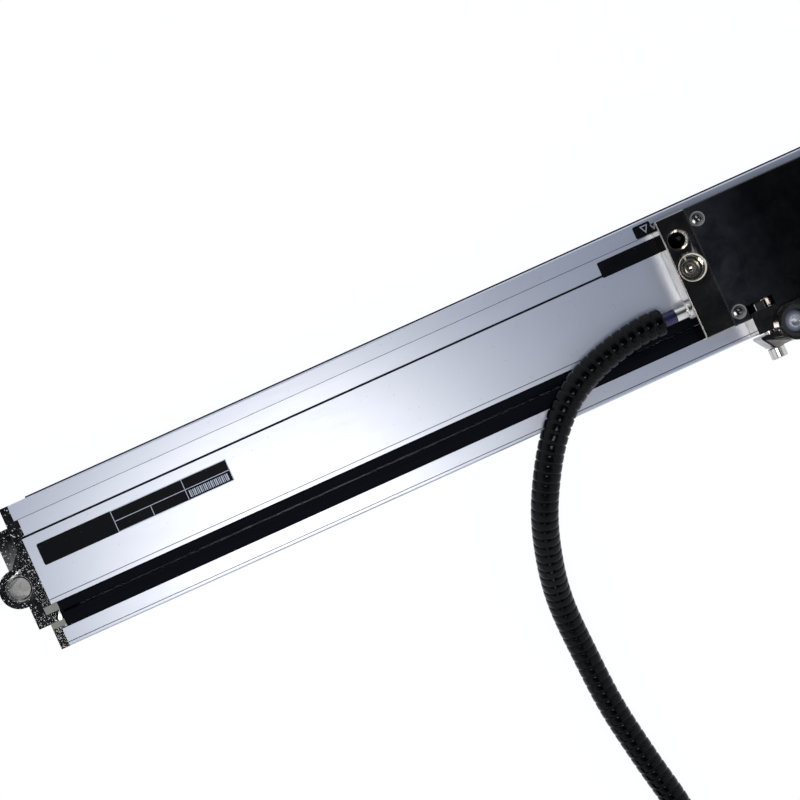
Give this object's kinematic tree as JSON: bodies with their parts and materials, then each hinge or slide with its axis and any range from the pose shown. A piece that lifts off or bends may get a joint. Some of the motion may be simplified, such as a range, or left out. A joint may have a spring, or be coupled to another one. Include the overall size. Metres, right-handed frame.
{
  "type": "linear glass scale",
  "caption": "Guided, sealed linear encoder: aluminium housing with a glass scale behind sealing lips, a roller carriage with a driver coupling, and a hose with a round connector.",
  "frame": {"origin": "middle of the housing's back face, halfway along the profile and across it", "axes": "+X along the housing towards the carriage's rest position, +Y across the front face away from the slot, +Z out of the front face"},
  "size_m": [0.4997, 0.3997, 0.0539],
  "materials": {
    "satin_aluminium": "satin anodised extrusion",
    "bearing_steel": "ground steel",
    "bright_steel": "zinc plated steel",
    "black_rubber": "matt black elastomer",
    "black_strip": "black strip",
    "zinc_casting": "dark plated casting",
    "clamp_metal": "chromated",
    "screw_steel": "hardened steel",
    "scale_glass": "polished optical glass",
    "chrome_lines": "evaporated chrome",
    "bond": "elastic adhesive",
    "carriage_metal": "bare machined casting",
    "gloss_black": "glossy black",
    "pcb": "circuit board",
    "spring_bronze": "spring bronze",
    "frame_metal": "machined",
    "lamp_plastic": "lamp body",
    "lens_glass": "polished lens",
    "cell_silicon": "silicon cell",
    "cup_plastic": "low-friction plastic",
    "sleeve_metal": "dark bluish sleeve",
    "hose_jacket": "ribbed black protective hose",
    "tie_plastic": "cable tie",
    "connector_nickel": "nickel plated",
    "connector_plastic": "insulator",
    "gold_pins": "gold plated"
  },
  "bodies": {
    "housing": {"housing_profile": "satin_aluminium", "running_strip": "bearing_steel", "edge_strip": "black_strip", "sealing_lip_upper": "black_rubber", "sealing_lip_lower": "black_rubber", "lip_clamps_left": "clamp_metal", "lip_clamps_right": "clamp_metal", "end_block_left": "zinc_casting", "end_block_right": "zinc_casting", "end_gasket_left": "black_rubber", "end_gasket_right": "black_rubber", "end_block_screws": "screw_steel", "glass_scale": "scale_glass", "graduation": "chrome_lines", "scale_bond": "bond"},
    "carriage": {"carriage_flange_left": "carriage_metal", "carriage_body": "carriage_metal", "carriage_cover": "gloss_black", "cover_screws": "bright_steel", "guide_axles": "bearing_steel", "port_nozzle": "bright_steel", "signal_board": "pcb", "drive_blade": "bearing_steel", "blade_screws": "screw_steel", "coupling_spring": "spring_bronze", "scan_frame": "frame_metal", "lamp_board": "pcb", "lamp": "lamp_plastic", "condenser_lens": "lens_glass", "scanning_reticle": "scale_glass", "detector_board": "pcb", "photocells": "cell_silicon", "glass_axles": "bearing_steel", "driver_bracket": "carriage_metal", "bracket_screws": "screw_steel", "clamp_screw": "bright_steel", "clamp_nut": "bright_steel", "ball_cup": "cup_plastic", "cable_collar": "bright_steel", "cable_ferrule": "bright_steel", "cable_sleeve": "sleeve_metal", "hose": "hose_jacket", "hose_coil": "hose_jacket", "hose_tail": "hose_jacket", "coil_tie": "tie_plastic", "connector_gland": "connector_nickel", "connector_grip": "connector_nickel", "connector_insert": "connector_plastic", "connector_pins": "gold_pins"},
    "ball": {"coupling_ball": "bearing_steel"},
    "coupling_ring": {"connector_ring": "connector_nickel"},
    "vee_roller_a": {"vee_roller_a": "bearing_steel"},
    "vee_roller_b": {"vee_roller_b": "bearing_steel"},
    "plain_roller_a": {"plain_roller_a": "bearing_steel"},
    "plain_roller_b": {"plain_roller_b": "bearing_steel"},
    "edge_roller_a": {"edge_roller_a": "bearing_steel"},
    "edge_roller_b": {"edge_roller_b": "bearing_steel"},
    "face_roller_a": {"face_roller_a": "bearing_steel"},
    "face_roller_b": {"face_roller_b": "bearing_steel"}
  },
  "joints": [
    {"name": "carriage_slide", "type": "slide", "parent": "housing", "child": "carriage", "axis": [1, 0, 0], "range_m": [-0.27, 0]},
    {"name": "vee_roller_a_spin", "type": "hinge", "parent": "carriage", "child": "vee_roller_a", "pos_m": [0.097, 0.01677, 0.04143], "axis": [0, 1, 0], "range_deg": [-3516, 0]},
    {"name": "vee_roller_b_spin", "type": "hinge", "parent": "carriage", "child": "vee_roller_b", "pos_m": [0.173, 0.01677, 0.04143], "axis": [0, 1, 0], "range_deg": [-3516, 0]},
    {"name": "plain_roller_a_spin", "type": "hinge", "parent": "carriage", "child": "plain_roller_a", "pos_m": [0.097, -0.00425, 0.04143], "axis": [0, 1, 0], "range_deg": [-3516, 0]},
    {"name": "plain_roller_b_spin", "type": "hinge", "parent": "carriage", "child": "plain_roller_b", "pos_m": [0.173, -0.00425, 0.04143], "axis": [0, 1, 0], "range_deg": [-3516, 0]},
    {"name": "edge_roller_a_spin", "type": "hinge", "parent": "carriage", "child": "edge_roller_a", "pos_m": [0.113, -0.00525, 0.02533], "axis": [0, 1, 0], "range_deg": [-5157, 0]},
    {"name": "edge_roller_b_spin", "type": "hinge", "parent": "carriage", "child": "edge_roller_b", "pos_m": [0.157, -0.00525, 0.02533], "axis": [0, 1, 0], "range_deg": [-5157, 0]},
    {"name": "face_roller_a_spin", "type": "hinge", "parent": "carriage", "child": "face_roller_a", "pos_m": [0.113, -0.00022, 0.0115], "axis": [0, 0, 1], "range_deg": [0, 5157]},
    {"name": "face_roller_b_spin", "type": "hinge", "parent": "carriage", "child": "face_roller_b", "pos_m": [0.157, -0.00022, 0.0115], "axis": [0, 0, 1], "range_deg": [0, 5157]},
    {"name": "ball_tilt", "type": "hinge", "parent": "carriage", "child": "ball", "pos_m": [0.1053, -0.03125, 0.0475], "axis": [0, 1, 0], "range_deg": [-10, 10]},
    {"name": "coupling_ring_spin", "type": "hinge", "parent": "carriage", "child": "coupling_ring", "pos_m": [-0.253, -0.19975, 0.013], "axis": [1, 0, 0], "continuous": true}
  ],
  "couplings": [
    {"joint": "vee_roller_a_spin", "follows": "carriage_slide", "rad_per_m": 227.27},
    {"joint": "vee_roller_b_spin", "follows": "carriage_slide", "rad_per_m": 227.27},
    {"joint": "plain_roller_a_spin", "follows": "carriage_slide", "rad_per_m": 227.27},
    {"joint": "plain_roller_b_spin", "follows": "carriage_slide", "rad_per_m": 227.27},
    {"joint": "edge_roller_a_spin", "follows": "carriage_slide", "rad_per_m": 333.33},
    {"joint": "edge_roller_b_spin", "follows": "carriage_slide", "rad_per_m": 333.33},
    {"joint": "face_roller_a_spin", "follows": "carriage_slide", "rad_per_m": -333.33},
    {"joint": "face_roller_b_spin", "follows": "carriage_slide", "rad_per_m": -333.33}
  ]
}
